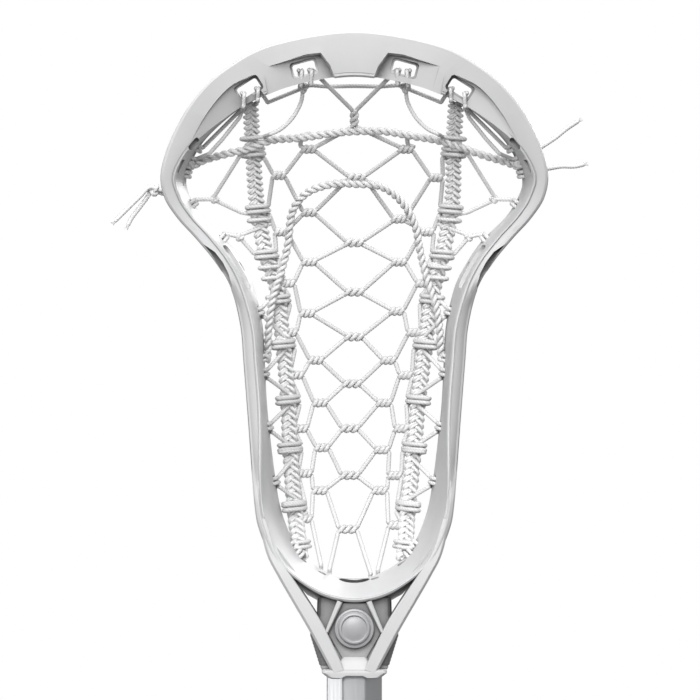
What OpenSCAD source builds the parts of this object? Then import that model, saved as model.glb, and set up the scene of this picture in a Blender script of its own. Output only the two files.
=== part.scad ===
// Women's lacrosse stick: an octagonal metal shaft, a moulded nylon head and its strung pocket.
// Millimetres. +Z runs up the shaft to the scoop, the open face looks towards -Y,
// and the origin is the middle of the end cap's lower face.

/* [Shaft] */
// Distance across the flats of the octagonal shaft
shaft_flats = 25.4; // [24:0.1:27]
// Length of the shaft tube
shaft_len = 813; // [650:1:850]
// Wall thickness of the shaft tube
shaft_wall = 1.3; // [1:0.1:2]
// How far the shaft reaches up into the head
shaft_in_head = 32; // [24:1:32]

/* [End cap] */
// Thickness of the rubber under the shaft
cap_floor = 5; // [3:0.5:8]
// Thickness of the rubber around the shaft
cap_wall = 2.2; // [1.5:0.1:3]
// Height of the rubber sleeve above its floor
cap_sleeve = 38; // [25:1:50]
// Play between the sleeve and the shaft
cap_play = 0.1; // [0.05:0.01:0.3]

/* [Head] */
// Greatest width of the head
head_w = 178; // [175:1:185]
// Length of the head from the collar's lower edge to the scoop's tip
head_len = 297; // [285:1:305]
// Thickness of the moulded side walls
wall_t = 2.6; // [2:0.1:3.5]

/* [Badge and screw] */
// Diameter of the round badge on the throat
badge_d = 18.8; // [16:0.2:20]
// Diameter of the raised ring inside the badge
badge_ring_d = 13.4; // [11:0.2:14]
// Thread diameter of the screw that holds the head
screw_d = 4; // [3.5:0.1:4.5]
// Diameter of the screw's head
screw_head_d = 8; // [7:0.5:9]

/* [Strings] */
// Diameter of the pocket's nylon cord
cord_d = 2.2; // [1.8:0.1:2.6]
// Width of the woven runners
runner_w = 7.5; // [6:0.5:9]
// Thickness of the woven runners
runner_t = 4; // [3:0.5:5]
// How far the pocket hangs behind the side walls
pocket_sag = 15; // [8:1:18]

/* [Hidden] */

NYLON = [0.86, 0.86, 0.87];
CORD = [0.93, 0.93, 0.93];

head_z = cap_floor + shaft_len - shaft_in_head;  // the collar's lower edge
screw_z = 14;       // the screw's height above the collar's lower edge
badge_z = 23;       // the badge's height above it
badge_y = -17.4;    // the badge's front face
socket_back = 17;   // the socket's rear face, behind the shaft's axis
kx = head_w / 178;
kz = head_len / 297;

// Half of the head's outline, from the scoop's tip down round the cup's bottom. Each station is
// [outer x, outer z, lip x, lip z, rear x, rear z, front y, rear y]: the outer edge and the inner
// lip at the front face, then the inner edge at the back.
STATIONS = [
    [0, 297, 0, 276, 0, 277, -22, -8],
    [35, 290, 23, 273, 24, 274, -20, -4],
    [58, 279, 41, 267, 42, 268, -17, 2],
    [73, 267, 54, 259, 54, 259, -14, 9],
    [83, 251, 69, 246, 67, 246, -10, 17],
    [89, 234, 82, 231, 78, 231, -6, 24],
    [88, 222, 80, 220, 76, 221, -3, 30],
    [82, 212, 74, 211, 70, 212, -1, 34],
    [73, 202, 65, 201, 60, 202, 0, 37],
    [64, 191, 57, 192, 53, 192, 0, 39],
    [57, 179, 51, 180, 47, 180, 0, 40],
    [52, 162, 47, 162, 43, 162, -1, 42],
    [50.5, 145, 46, 145, 42, 145, -2, 43],
    [48.5, 120, 44.5, 120, 40.5, 120, -5, 43],
    [45.5, 82, 42, 82, 36, 84, -11, 40],
    [43, 68, 39, 68, 31.5, 68, -13, 37],
    [37, 55, 34, 57, 25, 56, -14, 34],
    [28, 45, 26, 48, 17, 50, -15, 31],
    [15, 36, 14, 39, 8, 46, -16, 28],
    [0, 33, 0, 36, 0, 45, -16, 26]];

function unit(v) = v / norm(v);
function catmull(a, b, c, d, t) = 0.5 * (2 * b + (c - a) * t + (2 * a - 5 * b + 4 * c - d) * t * t
    + (3 * b - a - 3 * c + d) * t * t * t);
// A smooth line through every point of a list, with steps stretches between each two of them
function smooth(p, steps) = let (n = len(p) - 1) [
    for (i = [0 : n - 1], k = [0 : steps - 1])
        catmull(i > 0 ? p[i - 1] : 2 * p[0] - p[1], p[i], p[i + 1],
            i < n - 1 ? p[i + 2] : 2 * p[n] - p[n - 1], k / steps),
    p[n]];

// Where the wall's rear edge is at a height z, and how far the strings hang behind it
function rear_y(z) = lookup(z, [for (s = STATIONS) [s[5], s[7]]]);
function rear_x(z) = lookup(z, [for (s = STATIONS) [s[5], s[4]]]);
function sag(z) = pocket_sag * lookup(z, [[45, 0.1], [65, 0.6], [90, 1], [170, 0.95], [220, 0.6],
    [260, 0.2], [280, 0]]);
// The pocket's surface: a point at [x, z] gets its depth
function on_pocket(p) = let (q = min(1, abs(p[0]) / max(20, rear_x(p[1]))))
    [p[0] * kx, rear_y(p[1]) - 2 + sag(p[1]) * (1 - q * q), p[1] * kz];
function hung(list) = [for (p = list) on_pocket(p)];
function flip(list) = [for (p = list) [-p[0], p[1]]];
function flip3(list) = [for (p = list) [-p[0], p[1], p[2]]];

// A closed tube of oval section along a path. The width w lies square to the direction flat, t along it.
module sweep(path, w, t, sides = 6, flat = [0, 1, 0]) {
    n = len(path);
    rings = [for (i = [0 : n - 1]) let (
        along = unit(path[min(i + 1, n - 1)] - path[max(i - 1, 0)]),
        side = unit(cross(along, flat)),
        up = cross(side, along))
        for (k = [0 : sides - 1]) let (a = 360 * (k + 0.5) / sides)
            path[i] + side * cos(a) * w / 2 + up * sin(a) * t / 2];
    polyhedron(rings, concat(
        [[for (k = [sides - 1 : -1 : 0]) k]],
        [for (i = [0 : n - 2], k = [0 : sides - 1]) let (a = i * sides, b = (k + 1) % sides)
            [a + k, a + b, a + sides + b, a + sides + k]],
        [[for (k = [0 : sides - 1]) (n - 1) * sides + k]]));
}
module cord(path, d = cord_d, flat = [0, 1, 0]) sweep(path, d, d, flat = flat);
// The blocky outline of a short twist of two cords that lies level, w long
module twist(p, w, d = cord_d * 1.7) hull() for (s = [-1, 1])
    translate(p + [s * (w - d * 0.7) / 2, 0, 0]) cube([d * 0.7, d, d * 0.8], center = true);
// The blocky outline of a knot
module knot(p, d = cord_d * 2) hull() for (s = [-1, 1])
    translate(p + [0, 0, s * d * 0.1]) cube([d * 0.8, d * 0.82, d * 0.6], center = true);

// ---------------------------------------------------------------- head
// The wall's section at one station: front face, inner slope, rear edge, outer slope
function wall_section(s) = let (
    out = unit([s[0] - s[4] + (s[0] > 0 ? 0.01 : 0), s[1] - s[5]]),
    rear = [s[4], s[5]] + wall_t * out, mid = ([s[0], s[1]] * 0.6 + rear * 0.4)) [
    [s[0] * kx, s[6] + 2, s[1] * kz], [(s[0] * 0.85 + s[2] * 0.15) * kx, s[6], (s[1] * 0.85 + s[3] * 0.15) * kz],
    [s[2] * kx, s[6] + 1, s[3] * kz],
    [s[4] * kx, s[7], s[5] * kz], [rear[0] * kx, s[7], rear[1] * kz],
    [mid[0] * kx, s[6] + 8, mid[1] * kz]];
half_ring = [for (s = smooth(STATIONS, 2)) wall_section(s)];
ring = concat(half_ring, [for (i = [len(half_ring) - 2 : -1 : 1]) flip3(half_ring[i])]);

module rim_wall() {
    n = len(ring);
    m = len(ring[0]);
    polyhedron([for (s = ring) each s],
        [for (i = [0 : n - 1], k = [0 : m - 1]) let (a = i * m, b = ((i + 1) % n) * m, c = (k + 1) % m)
            [a + k, b + k, b + c, a + c]]);
}

// A bar with round corners between points of the front view, from depth y0 to y1
module bar_2d(pts, r, y0, y1) translate([0, y1, 0]) rotate([90, 0, 0]) linear_extrude(y1 - y0)
    hull() for (p = pts) translate(p) circle(r = r, $fn = 12);
// A level slice of the socket, w by d across, with its middle at depth y
module socket_slice(z, w, d, y) translate([0, y, z]) linear_extrude(0.5) hull()
    for (i = [-1, 1], j = [-1, 1]) translate([i * (w / 2 - 5), j * (d / 2 - 5)]) circle(r = 5, $fn = 16);
// A round post that runs from depth y0 to y1 at a point of the front view
module post(p, r, y0, y1) translate([p[0], y0, p[1]]) rotate([-90, 0, 0]) cylinder(r = r, h = y1 - y0, $fn = 16);
// The arm that runs from the side wall down to the collar on one side
module arm(side) scale([side, 1, 1]) {
    hull() { post([36.8, 53.4], 4.1, -14.6, 3); post([31.2, 43.3], 4.4, -15.2, 9); }
    hull() { post([31.0, 43.0], 4.2, -15.4, 7); post([18.3, 22.4], 4.5, -16.6, 5); }
    hull() { post([18.1, 22.2], 4.3, -16.8, 2); post([9.6, 5.1], 3.6, -17.2, 1); }
}
module head_frame() color(NYLON) translate([0, 0, head_z]) difference() {
    union() {
        rim_wall();
        for (side = [-1, 1]) arm(side);
        // the socket around the shaft, from the collar up to the cup's wall
        hull() { socket_slice(0, 30, 31, 0.5); socket_slice(20, 36, 32, 1); }
        hull() { socket_slice(20, 36, 32, 1); socket_slice(32.5, 36, 34, 3); }
        hull() { socket_slice(32.5, 36, 40, 6); socket_slice(34, 20, 36, 7); }
    }
    // the shaft's octagonal hole
    translate([0, 0, -1]) rotate([0, 0, 22.5]) cylinder(r = (shaft_flats / 2 + 0.05) / cos(22.5),
        h = shaft_in_head + 1, $fn = 8);
    // the recess between the arms, in front of the shaft
    hull() { bar_2d([[0, 7], [-9.5, 29], [9.5, 29]], 1, -30, -14.6); }
    // the screw's hole
    translate([0, shaft_flats / 2 - 4, screw_z]) rotate([-90, 0, 0]) cylinder(d = screw_d + 0.8, h = 30, $fn = 32);
    // the four string windows in the scoop
    for (side = [-1, 1]) {
        translate([side * 23 * kx, 0, 280 * kz]) rotate([0, -side * 15, 0]) cube([11, 90, 6], center = true);
        translate([side * 48.5 * kx, 0, 271 * kz]) rotate([0, -side * 32, 0]) cube([11, 90, 6.5], center = true);
        // the slot in the side wall below its widest place
        translate([side * 62 * kx, 20, 188 * kz]) rotate([0, side * 55, 0]) cube([30, 16, 20], center = true);
    }
}
module throat_badge() color([0.72, 0.72, 0.73]) translate([0, badge_y, head_z + badge_z]) rotate([-90, 0, 0]) {
    difference() {
        cylinder(d = badge_d, h = -14.6 - badge_y, $fn = 64);
        translate([0, 0, -1]) cylinder(d = badge_ring_d + 1.6, h = 1.6, $fn = 64);
    }
    difference() {
        cylinder(d = badge_ring_d, h = 2, $fn = 64);
        translate([0, 0, -1]) cylinder(d = badge_ring_d - 2, h = 1.5, $fn = 64);
    }
}
module fixing_screw() color([0.75, 0.75, 0.77]) translate([0, 0, head_z + screw_z]) rotate([-90, 0, 0]) difference() {
    union() {
        translate([0, 0, shaft_flats / 2 - 5]) cylinder(d = screw_d, h = socket_back - shaft_flats / 2 + 5.3, $fn = 32);
        translate([0, 0, socket_back + 0.2]) cylinder(d = screw_head_d, h = 2.4, $fn = 48);
    }
    translate([0, 0, socket_back + 1.2]) cylinder(d = 3.4, h = 3, $fn = 6);
}
module ball_stop_pad() color([0.1, 0.1, 0.1]) translate([0, 0, head_z]) hull() for (y = [18, 24.5])
    translate([0, y, 36.5 + 8.5 * (y + 16) / 42]) {
        translate([-8, 0, -0.6]) cube([16, 1, 1.2]);
        translate([-4.5, 0, -0.6]) cube([9, 1, 2.0]);
    }
module shaft_tube() color([0.70, 0.71, 0.72]) translate([0, 0, cap_floor]) difference() {
    rotate([0, 0, 22.5]) cylinder(r = shaft_flats / 2 / cos(22.5), h = shaft_len, $fn = 8);
    translate([0, 0, -1]) rotate([0, 0, 22.5])
        cylinder(r = (shaft_flats / 2 - shaft_wall) / cos(22.5), h = shaft_len + 2, $fn = 8);
    // the screw's hole in the rear wall
    translate([0, 0, shaft_len - shaft_in_head + screw_z]) rotate([-90, 0, 0])
        cylinder(d = screw_d + 0.4, h = 30, $fn = 32);
}
module end_cap() color([0.12, 0.12, 0.13]) difference() {
    rotate([0, 0, 22.5]) cylinder(r = (shaft_flats / 2 + cap_wall) / cos(22.5), h = cap_floor + cap_sleeve, $fn = 8);
    translate([0, 0, cap_floor]) rotate([0, 0, 22.5])
        cylinder(r = (shaft_flats / 2 + cap_play) / cos(22.5), h = cap_sleeve + 1, $fn = 8);
}

// ---------------------------------------------------------------- strings
// The routes are [x, z] points of the front view, above the collar's lower edge.
MIDDLE = [[0, 258], [1, 231], [0, 201], [0, 178], [0, 157], [-1, 135], [-2, 114], [-2, 92], [-3, 67]];
LEFT_IN = [[-21, 244], [-21, 215], [-21, 192], [-22, 168], [-18, 146], [-16, 126], [-15, 105], [-16, 85]];
RIGHT_IN = [[24, 244], [21, 212], [21, 192], [20, 169], [16, 146], [14, 126], [13, 104], [12, 85]];
LEFT_OUT = [[-35, 232], [-34, 206], [-31, 182], [-30, 159], [-27, 139], [-25, 114], [-23, 93], [-23, 72]];
RIGHT_OUT = [[38, 231], [34, 206], [32, 182], [28, 159], [24, 139], [22, 114], [19, 92], [19, 69]];
LEFT_RUNNER = [[-48, 265], [-47, 244], [-46, 225], [-44, 209], [-41, 195], [-36, 179], [-34, 160],
    [-33, 151], [-31, 128], [-30, 105], [-28, 78], [-26, 62], [-25, 54]];
RIGHT_RUNNER = [[47, 265], [46, 244], [46, 225], [44, 209], [41, 195], [37, 179], [34, 160],
    [33, 151], [30, 128], [28, 105], [25, 76], [24, 62], [23, 53]];
WRAPS = [242, 216, 195, 174, 153, 127, 105, 77];  // heights at which the cords wrap the runners
ARCH = [[-41, 145], [-40, 160], [-38, 175], [-34, 188], [-31, 200], [-29, 215], [-22, 224], [-10, 228],
    [1, 228], [12, 227], [21, 221], [28, 210], [31, 196], [34, 184], [38, 172], [40, 158], [41, 145]];
STRAIGHT = [[-78, 235], [-69, 239], [-58, 242], [-49, 244], [-38, 248], [-25, 249], [-11, 251], [0, 252],
    [14, 252], [26, 250], [38, 248], [48, 245], [60, 241], [70, 238], [79, 235]];
WING = [[-50, 241], [-66, 221], [-50, 215], [-54, 204], [-45, 195]];
SIDE = [[-39, 178], [-44, 169], [-36, 153], [-42, 140], [-34, 127], [-40, 115], [-33, 105], [-38, 90], [-31, 77]];
TOP = [[-46, 266], [-41, 265], [-30, 269], [-23, 273], [-12, 272], [0, 272.5], [12, 272], [23, 273],
    [30, 269], [40, 265], [46, 266]];

// A strand that goes to and fro between two columns of crossings
function zigzag(a, b) = [for (i = [0 : len(b) - 1], k = [0, 1]) k == 0 ? a[i] : b[i]];
function runner_x(list, z) = lookup(z, [for (p = list) [p[1], p[0]]]);
module lifted() translate([0, 0, head_z]) children();
module strap(list) lifted() sweep(hung(list), runner_w, runner_t, 8);

module left_runner() color(CORD) strap(LEFT_RUNNER);
module right_runner() color(CORD) strap(RIGHT_RUNNER);
// Straight cords from point to point of a list
module links(list) for (i = [0 : len(list) - 2]) cord(hung([list[i], list[i + 1]]));
// One side of the net: side is -1 on the left
module net_side(side, inner, outer) {
    links(concat([[side * 23, 273], [side * 9, 265]], zigzag(MIDDLE, inner), [MIDDLE[8], [side * 10 - 2, 46]]));
    links(concat(zigzag(inner, outer), [[side * 12 - 2, 47]]));
    links([outer[7], [side * 23 - 1, 53]]);
    // the loops that tie the outer crossings to the runner
    for (i = [0 : 7]) let (tie = [side * (abs(runner_x(RIGHT_RUNNER, WRAPS[i])) - 1), WRAPS[i]]) {
        links([tie, outer[i]]);
        if (i > 0) links([tie, outer[i - 1]]);
        knot(on_pocket(tie), 5);
    }
    for (p = inner) knot(on_pocket(p), 5);
    for (p = outer) knot(on_pocket(p), 5.2);
    knot(on_pocket([side * 9, 265]), 3.6);
}
module pocket_mesh() color(CORD) lifted() {
    net_side(-1, LEFT_IN, LEFT_OUT);
    net_side(1, RIGHT_IN, RIGHT_OUT);
    for (i = [0 : 8]) twist(on_pocket(MIDDLE[i]), 9, 4.4);
}
module wing_lace(list) color(CORD) lifted() {
    cord(hung(list));
    // the ties that reach from the two outer crossings to the side wall
    for (tie = [[list[1], [76, 218]], [list[3], [63, 203]]])
        cord(hung([tie[0], [sign(tie[0][0]) * tie[1][0], tie[1][1]]]));
    for (p = list) knot(on_pocket(p));
}
module left_wing_lace() wing_lace(WING);
module right_wing_lace() wing_lace(flip(WING));
module sidewall_lace(list) color(CORD) lifted() {
    cord(hung(list));
    for (p = list) knot(on_pocket(p), cord_d * 1.8);
}
module left_sidewall_lace() sidewall_lace(SIDE);
module right_sidewall_lace() sidewall_lace(flip(SIDE));
module top_lace() color(CORD) lifted() {
    cord([for (p = TOP) [p[0] * kx, 1, p[1] * kz]], cord_d * 1.3);
    for (side = [-1, 1]) {
        cord(hung([[side * 23, 272], [side * 24, 262], [side * 30, 252], [side * 42, 250]]));
        cord(hung([[side * 48, 266], [side * 64, 252], [side * 75, 244]]));
        cord(hung([[side * 48, 262], [side * 60, 248], [side * 75, 239]]));
        for (x = [23, 30, 41, 46]) knot([side * x * kx, 1, lookup(x, [for (p = [5 : 10]) TOP[p]]) * kz], 4);
    }
}
module shooting(list) color(CORD) lifted() {
    cord([for (p = hung(list)) p - [0, 2.4, 0]], cord_d * 1.6);
    for (p = list) knot(on_pocket(p) - [0, 2.4, 0], cord_d * 1.9);
}
module straight_shooting_string() shooting(STRAIGHT);
module arched_shooting_string() shooting(ARCH);
// The cords' ends, drawn through the cup's wall and tied behind it
module throat_laces() color(CORD) lifted() {
    for (x = [-24, -14, -11, 9, 11, 22]) let (z = 44 + 0.016 * x * x) {
        cord([[x * kx, 29, (z + 3) * kz], [x * kx, 33, (z - 1) * kz], [x * kx, 30, (z - 4) * kz]], flat = [1, 0, 0]);
        knot([x * kx, 31, (z - 5) * kz], 4.5);
        knot([x * kx, 29, (z + 2) * kz], 3);
    }
}
// ---------------------------------------------------------------- free ends of the cords
// Their routes are [x, y, z] points above the collar's lower edge.
LEFT_LONG = [[-79, 18, 228], [-86, 15, 225], [-91, 14, 225], [-95, 12, 226], [-99, 11, 222], [-103, 9, 218],
    [-107, 8, 214], [-111, 7, 210]];
LEFT_SHORT = [[-80, 19, 224], [-87, 17, 223], [-91, 16, 224], [-94, 15, 224], [-97, 14, 220], [-100, 13, 216],
    [-103, 12, 212], [-105, 11, 208]];
RIGHT_UPPER = [[74, 15, 237], [80, 16, 240], [87, 15, 245], [93, 14, 249], [98, 13, 253], [104, 11, 257]];
RIGHT_LOWER = [[75, 20, 233], [82, 20, 234], [90, 20, 235], [96, 19, 236], [102, 19, 236], [107, 18, 237]];
module tail(route) color(CORD) lifted() sweep(smooth(route, 2), cord_d, cord_d, 8);
module left_tail_knot() color(CORD) lifted() hull() {
    translate([-93, 13, 226]) sphere(d = 6, $fn = 16);
    translate([-93, 16, 223]) sphere(d = 5, $fn = 16);
}
module left_tail_long() tail(LEFT_LONG);
module left_tail_short() tail(LEFT_SHORT);
module right_tail_upper() tail(RIGHT_UPPER);
module right_tail_lower() tail(RIGHT_LOWER);

head_frame();
throat_badge();
fixing_screw();
ball_stop_pad();
shaft_tube();
end_cap();
left_runner();
right_runner();
pocket_mesh();
left_wing_lace();
right_wing_lace();
top_lace();
straight_shooting_string();
arched_shooting_string();
left_sidewall_lace();
right_sidewall_lace();
throat_laces();
left_tail_knot();
left_tail_long();
left_tail_short();
right_tail_upper();
right_tail_lower();
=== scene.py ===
"""A women's lacrosse stick: moulded head, strung pocket, octagonal shaft.

Head parts are written in millimetres in head space: x to the right, y out of the back, and z above
the collar's lower edge. place() turns them into the frame's metres. The free ends'
routes, the shaft and its cap are in metres.
"""
import random
from math import copysign, cos, exp, pi, radians, sin

import bmesh
import bpy
import numpy as np
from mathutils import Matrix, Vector


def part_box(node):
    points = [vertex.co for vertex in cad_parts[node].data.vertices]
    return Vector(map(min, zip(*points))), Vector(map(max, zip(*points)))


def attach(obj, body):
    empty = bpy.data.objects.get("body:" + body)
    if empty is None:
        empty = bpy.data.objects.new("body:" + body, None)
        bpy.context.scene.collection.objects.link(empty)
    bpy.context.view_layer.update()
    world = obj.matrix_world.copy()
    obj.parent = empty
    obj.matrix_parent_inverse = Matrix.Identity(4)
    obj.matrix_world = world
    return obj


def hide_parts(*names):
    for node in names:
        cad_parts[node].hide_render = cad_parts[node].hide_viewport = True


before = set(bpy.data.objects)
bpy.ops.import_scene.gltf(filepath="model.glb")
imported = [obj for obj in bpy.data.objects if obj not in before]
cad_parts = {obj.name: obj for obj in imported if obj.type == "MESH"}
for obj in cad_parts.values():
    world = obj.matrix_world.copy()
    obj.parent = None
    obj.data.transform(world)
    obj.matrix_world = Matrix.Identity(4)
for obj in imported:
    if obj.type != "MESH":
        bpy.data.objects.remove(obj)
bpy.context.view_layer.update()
random.seed(7)

MM = 0.001
HEAD_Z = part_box("head_frame")[0].z  # the collar's lower edge, in metres
SHAFT_LOW, SHAFT_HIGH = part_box("shaft_tube")
ROOT = "stick"


def new_object(name, data):
    """An object with this data, linked to the scene."""
    obj = bpy.data.objects.new(name, data)
    bpy.context.scene.collection.objects.link(obj)
    return obj


# ---- camera
CAMERA_DISTANCE = 3.0  # from the head's front face, so that depth hardly changes sizes
VIEW_WIDTH = 0.322  # what the picture is wide at the head's front face
VIEW_CENTRE = (-0.002, HEAD_Z + 0.1508)

camera = new_object("camera", bpy.data.cameras.new("camera"))
camera.data.sensor_width = 36
camera.data.lens = 36 * CAMERA_DISTANCE / VIEW_WIDTH
camera.data.clip_end = 50
camera.location = (VIEW_CENTRE[0], -CAMERA_DISTANCE - 0.006, VIEW_CENTRE[1])
camera.rotation_euler = (pi / 2, 0, 0)
bpy.context.scene.camera = camera
bpy.context.scene.view_settings.view_transform = "Standard"


# ---- mesh tools
def place(points):
    """Head space millimetres to the frame's metres."""
    return np.asarray(points, float) * MM + np.array([0, 0, HEAD_Z])


def unit(v):
    return v / np.maximum(np.linalg.norm(v, axis=-1, keepdims=True), 1e-9)


def catmull(points, steps, closed=False):
    """A smooth line through every point, with steps stretches between each two."""
    p = np.asarray(points, float)
    if closed:
        p = np.vstack([p[-1], p, p[0], p[1]])
    else:
        p = np.vstack([2 * p[0] - p[1], p, 2 * p[-1] - p[-2]])
    t = (np.arange(steps) / steps)[:, None]
    out = []
    for a, b, c, d in zip(p[:-3], p[1:-2], p[2:-1], p[3:]):
        out.append(0.5 * (2 * b + (c - a) * t + (2 * a - 5 * b + 4 * c - d) * t ** 2
                          + (3 * b - a - 3 * c + d) * t ** 3))
    line = np.vstack(out)
    return line if closed else np.vstack([line, p[-2]])


def even(line, step):
    """The same line with points a step apart."""
    line = np.asarray(line, float)
    gaps = np.linalg.norm(np.diff(line, axis=0), axis=1)
    keep = np.concatenate([[True], gaps > 1e-6])
    line = line[keep]
    along = np.concatenate([[0], np.cumsum(np.linalg.norm(np.diff(line, axis=0), axis=1))])
    n = max(2, int(round(along[-1] / step)) + 1)
    at = np.linspace(0, along[-1], n)
    return np.stack([np.interp(at, along, line[:, i]) for i in range(3)], 1)


def frames_along(line):
    """Two sides at each point of a line, carried along without twisting."""
    tangent = unit(np.gradient(line, axis=0))
    side = [unit(np.cross(tangent[0], [0.13, 1, 0.07]))]
    for t in tangent[1:]:
        s = side[-1] - np.dot(side[-1], t) * t
        side.append(unit(s))
    side = np.array(side)
    return side, np.cross(tangent, side)


class Shape:
    """Collects vertices, faces and a shade value per vertex for one mesh."""

    def __init__(self):
        self.verts, self.faces, self.shade, self.count = [], [], [], 0

    def rings(self, rings, shade=None, closed=False):
        """Skins rings of points, each the same length, and caps the ends unless closed."""
        n, m = len(rings), len(rings[0])
        faces = []
        for i in range(n if closed else n - 1):
            a, b = i * m, (i + 1) % n * m
            faces += [(a + k, a + (k + 1) % m, b + (k + 1) % m, b + k) for k in range(m)]
        if not closed:
            faces += [tuple(range(m - 1, -1, -1)), tuple(range((n - 1) * m, n * m))]
        self.verts.append(np.reshape(rings, (-1, 3)))
        self.faces += [tuple(i + self.count for i in f) for f in faces]
        self.shade.append(np.ones(n * m) if shade is None else shade)
        self.count += n * m

    def mesh(self, name, to_frame=place):
        mesh = bpy.data.meshes.new(name)
        mesh.from_pydata(to_frame(np.vstack(self.verts)).tolist(), [], self.faces)
        return mesh

    def build(self, name, material, slot, node=None, to_frame=place, **settings):
        """Makes a piece of the shape. It stands for a node of the CAD, unless it is only a skin."""
        mesh = self.mesh(name, to_frame)
        mesh.attributes.new("shade", "FLOAT", "POINT").data.foreach_set(
            "value", np.concatenate(self.shade).astype(np.float32))
        mesh.validate()
        return finish_piece(new_object(name, mesh), material, slot, node, **settings)


def skin(rings, closed=False):
    """A new shape, skinned over rings of points."""
    shape = Shape()
    shape.rings(rings, closed=closed)
    return shape


def finish_piece(obj, material, slot, node=None, body=ROOT, angle=None):
    """Smooths a piece up to an angle in degrees, gives it its material and body, and hides the CAD node it
    stands for. The slot is not used.
    """
    obj.data.materials.clear()
    obj.data.materials.append(material)
    obj.data.polygons.foreach_set("use_smooth", [True] * len(obj.data.polygons))
    if angle:
        obj.data.set_sharp_from_angle(angle=radians(angle))
    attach(obj, body)
    if node:
        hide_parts(node)
    return obj


# ---- materials
SHADER = "Principled BSDF"


def new_material(name, colour, roughness, **sockets):
    """A Principled material. Uniform values sit on the shader's own sockets."""
    m = bpy.data.materials.new(name)
    m.use_nodes = True
    shader = m.node_tree.nodes[SHADER]
    shader.inputs["Base Color"].default_value = (*colour, 1)
    shader.inputs["Roughness"].default_value = roughness
    for key, value in sockets.items():
        shader.inputs[key.replace("_", " ")].default_value = value
    return m, m.node_tree


def add_node(tree, kind, inputs=None, **settings):
    """A shader node. Each of its inputs is set to a value or linked to another node's output."""
    node = tree.nodes.new("ShaderNode" + kind)
    for key, value in settings.items():
        setattr(node, key, value)
    for key, value in (inputs or {}).items():
        if isinstance(value, bpy.types.NodeSocket):
            tree.links.new(value, node.inputs[key])
        else:
            node.inputs[key].default_value = value
    return node


def noise(tree, scale, detail=3, stretch=(1, 1, 1)):
    """Noise in the object's own metres: scale is in features per metre."""
    where = add_node(tree, "TexCoord").outputs["Object"]
    place_in = add_node(tree, "Mapping", {"Vector": where, "Scale": stretch}).outputs["Vector"]
    return add_node(tree, "TexNoise", {"Vector": place_in, "Scale": scale, "Detail": detail}).outputs["Fac"]


def to_range(tree, value, low, high, start=0.0, end=1.0):
    """Maps a value between start and end to one between low and high."""
    ends = {"From Min": start, "From Max": end, "To Min": low, "To Max": high}
    return add_node(tree, "MapRange", {"Value": value, **ends}).outputs["Result"]


def scaled(tree, colour, factor):
    return add_node(tree, "VectorMath", {0: colour, "Scale": factor}, operation="SCALE").outputs[0]


def mix_colour(tree, factor, dark, light):
    return add_node(tree, "Mix", {0: factor, 6: (*dark, 1), 7: (*light, 1)}, data_type="RGBA").outputs[2]


def drive(tree, value, socket="Base Color"):
    """Links a value to one of the material's sockets."""
    tree.links.new(value, tree.nodes[SHADER].inputs[socket])


def bump(tree, height, distance, strength):
    relief = add_node(tree, "Bump", {"Height": height, "Distance": distance, "Strength": strength})
    drive(tree, relief.outputs["Normal"], "Normal")


def painted_corner_shade(tree, colour, reach, least):
    """Painted corner shade: a colour that gets darker where other surfaces stand close around the point."""
    open_sky = add_node(tree, "AmbientOcclusion", {"Distance": reach}, samples=8).outputs["AO"]
    return scaled(tree, colour, to_range(tree, open_sky, least, 1.0, 0.3, 0.95))


def nylon_material():
    """Moulded white nylon: satin, a faint flow mottle, painted shade in its corners and the mould's fine
    texture.
    """
    m, tree = new_material("moulded nylon", (0.6, 0.6, 0.605), 0.4, Specular_IOR_Level=0.4)
    mottle = mix_colour(tree, noise(tree, 60, 4), (0.56, 0.56, 0.567), (0.63, 0.63, 0.635))
    # painted shade in corners, where other surfaces stand close
    drive(tree, painted_corner_shade(tree, mottle, 0.006, 0.35))
    drive(tree, to_range(tree, noise(tree, 220, 5), 0.33, 0.52), "Roughness")
    bump(tree, noise(tree, 2600, 2), 0.00004, 0.5)
    return m


def cord_material(name, dark, light, fuzz=4200):
    """White nylon cord: darker in the creases between its strands and at its rim, both painted shade, with a
    faint mottle and fine fibres.
    """
    m, tree = new_material(name, light, 0.62, Sheen_Weight=0.25, Sheen_Roughness=0.5)
    crease = add_node(tree, "Attribute", attribute_name="shade").outputs["Fac"]
    mottle = to_range(tree, noise(tree, 260, 4), 0.86, 1.06)
    # painted shade in the creases between the strands, times a random mottle
    crease_shade_and_mottle = add_node(tree, "Math", {0: crease, 1: mottle}, operation="MULTIPLY").outputs[0]
    # painted rim shade: darker where the surface turns away from the camera
    facing = add_node(tree, "LayerWeight", {"Blend": 0.35}).outputs["Facing"]
    rim = to_range(tree, facing, 1.0, 0.62, 0.1, 0.9)
    drive(tree, scaled(tree, mix_colour(tree, crease_shade_and_mottle, dark, light), rim))
    bump(tree, noise(tree, fuzz, 3), 0.00012, 0.6)
    return m


def metal_material(name, colour, roughness, stretch, scale):
    """Satin metal with drawn or turned marks along one direction."""
    m, tree = new_material(name, colour, roughness, Metallic=1.0)
    marks = noise(tree, scale, 4, stretch)
    drive(tree, to_range(tree, marks, roughness - 0.08, roughness + 0.12), "Roughness")
    dull = tuple(0.86 * c for c in colour)
    drive(tree, mix_colour(tree, noise(tree, 90, 3, stretch), dull, colour))
    bump(tree, marks, 0.00002, 0.4)
    return m


def rubber_material():
    """Black rubber, a little dusty."""
    m, tree = new_material("cap rubber", (0.03, 0.03, 0.032), 0.7)
    drive(tree, mix_colour(tree, noise(tree, 140, 5), (0.018, 0.018, 0.02), (0.05, 0.05, 0.052)))
    bump(tree, noise(tree, 1800, 3), 0.0001, 0.6)
    return m


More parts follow.
